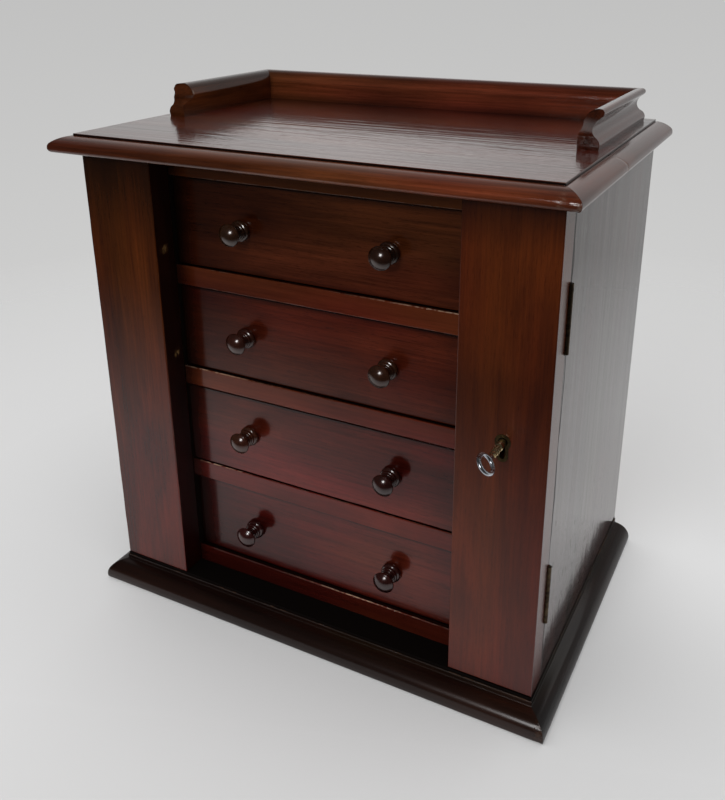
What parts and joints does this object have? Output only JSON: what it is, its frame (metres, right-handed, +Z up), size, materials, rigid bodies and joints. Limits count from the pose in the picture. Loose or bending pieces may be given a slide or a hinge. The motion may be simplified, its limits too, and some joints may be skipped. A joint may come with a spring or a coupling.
{
  "type": "wellington chest",
  "caption": "Table-top wellington chest with a gallery, moulded top and plinth, drawers with turned knobs, and a hinged stile that locks with a key.",
  "frame": {"origin": "centre of the overall box in plan, on the floor", "axes": "+X to the right seen from the front, +Y to the back, +Z up; the drawers open towards -Y"},
  "size_m": [0.4318, 0.3128, 0.4523],
  "materials": {
    "case_mahogany": "French polished mahogany, gloss",
    "stile_mahogany": "French polished figured mahogany, gloss",
    "drawer_mahogany": "French polished mahogany, gloss",
    "rail_mahogany": "French polished mahogany, gloss",
    "top_mahogany": "French polished mahogany, gloss",
    "moulding_mahogany": "French polished mahogany, gloss",
    "plinth_mahogany": "dark polished mahogany, gloss",
    "knob_mahogany": "dark turned and polished mahogany, gloss",
    "drawer_lining": "plain wood, matt",
    "carcass_wood": "plain wood, matt",
    "hinge_brass": "aged brass",
    "lock_brass": "brass, satin",
    "lock_steel": "steel, satin",
    "key_steel": "polished steel"
  },
  "bodies": {
    "case": {"plinth_front": "plinth_mahogany", "plinth_left": "plinth_mahogany", "plinth_right": "plinth_mahogany", "plinth_back": "carcass_wood", "bottom_board": "carcass_wood", "side_left": "case_mahogany", "side_right": "case_mahogany", "back_panel": "carcass_wood", "partition_left": "carcass_wood", "partition_right": "carcass_wood", "lock_post": "carcass_wood", "stile_left": "stile_mahogany", "bottom_rail": "rail_mahogany", "drawer_rail_3": "rail_mahogany", "drawer_rail_2": "rail_mahogany", "drawer_rail_1": "rail_mahogany", "top_rail": "rail_mahogany", "drawer_runners": "carcass_wood", "top_board": "top_mahogany", "top_moulding_front": "moulding_mahogany", "top_moulding_right": "moulding_mahogany", "top_moulding_left": "moulding_mahogany", "gallery_back": "moulding_mahogany", "gallery_left": "moulding_mahogany", "gallery_right": "moulding_mahogany", "hinge_top_case_leaf": "hinge_brass", "hinge_top_pin": "hinge_brass", "hinge_bottom_case_leaf": "hinge_brass", "hinge_bottom_pin": "hinge_brass", "lock_staple": "lock_steel", "case_screws": "lock_brass"},
    "flap": {"hinge_top_flap_leaf": "hinge_brass", "hinge_bottom_flap_leaf": "hinge_brass", "lock_case": "lock_brass", "flap_stile": "stile_mahogany", "keyhole_escutcheon": "lock_brass", "flap_screws": "lock_brass"},
    "lock_bolt": {"lock_bolt": "lock_steel"},
    "key": {"key": "key_steel"},
    "drawer_1": {"drawer_1_front": "drawer_mahogany", "drawer_1_sides": "drawer_lining", "drawer_1_back": "drawer_lining", "drawer_1_bottom": "drawer_lining", "drawer_1_knobs": "knob_mahogany"},
    "drawer_2": {"drawer_2_front": "drawer_mahogany", "drawer_2_sides": "drawer_lining", "drawer_2_back": "drawer_lining", "drawer_2_bottom": "drawer_lining", "drawer_2_knobs": "knob_mahogany"},
    "drawer_3": {"drawer_3_front": "drawer_mahogany", "drawer_3_sides": "drawer_lining", "drawer_3_back": "drawer_lining", "drawer_3_bottom": "drawer_lining", "drawer_3_knobs": "knob_mahogany"},
    "drawer_4": {"drawer_4_front": "drawer_mahogany", "drawer_4_sides": "drawer_lining", "drawer_4_back": "drawer_lining", "drawer_4_bottom": "drawer_lining", "drawer_4_knobs": "knob_mahogany"}
  },
  "joints": [
    {"name": "drawer_1_slide", "type": "slide", "parent": "case", "child": "drawer_1", "axis": [0, -1, 0], "range_m": [0, 0.17]},
    {"name": "drawer_2_slide", "type": "slide", "parent": "case", "child": "drawer_2", "axis": [0, -1, 0], "range_m": [0, 0.17]},
    {"name": "drawer_3_slide", "type": "slide", "parent": "case", "child": "drawer_3", "axis": [0, -1, 0], "range_m": [0, 0.17]},
    {"name": "drawer_4_slide", "type": "slide", "parent": "case", "child": "drawer_4", "axis": [0, -1, 0], "range_m": [0, 0.17]},
    {"name": "flap_hinge", "type": "hinge", "parent": "case", "child": "flap", "pos_m": [0.2004, -0.09285, 0.2176], "axis": [0, 0, 1], "range_deg": [0, 180]},
    {"name": "key_turn", "type": "hinge", "parent": "flap", "child": "key", "pos_m": [0.167, -0.1151, 0.2376], "axis": [0, -1, 0], "range_deg": [0, 100]},
    {"name": "bolt_slide", "type": "slide", "parent": "flap", "child": "lock_bolt", "axis": [0, 0, 1], "range_m": [0, 0.0116]}
  ],
  "couplings": [
    {"joint": "bolt_slide", "follows": "key_turn", "m_per_rad": 0.006584}
  ]
}
